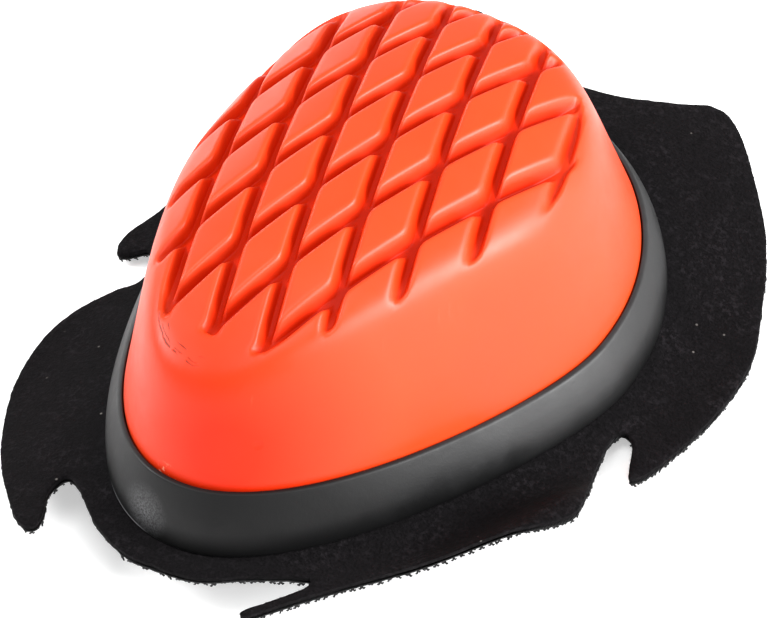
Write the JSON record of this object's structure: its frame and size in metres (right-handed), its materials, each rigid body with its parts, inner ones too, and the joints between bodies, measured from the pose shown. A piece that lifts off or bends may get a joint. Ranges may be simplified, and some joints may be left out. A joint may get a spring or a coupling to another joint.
{
  "type": "knee slider",
  "caption": "Domed knee slider: moulded puck with a diamond tread, in a flared rubber base on a winged hook-and-loop backing panel.",
  "frame": {"origin": "middle of the flat strip of the hook layer's underside, under the knee's centre line", "axes": "+X across the knee, +Y from the narrow nose to the wide heel, +Z out of the puck's crown, away from the knee"},
  "size_m": [0.1255, 0.1564, 0.0585],
  "materials": {
    "puck": "satin moulded plastic, orange red",
    "rubber": "matt dark grey rubber",
    "felt": "black brushed felt",
    "hooks": "black hook tape"
  },
  "bodies": {
    "root": {"slider_puck": "puck", "rubber_base": "rubber", "felt_backing": "felt", "hook_layer": "hooks"}
  },
  "joints": []
}
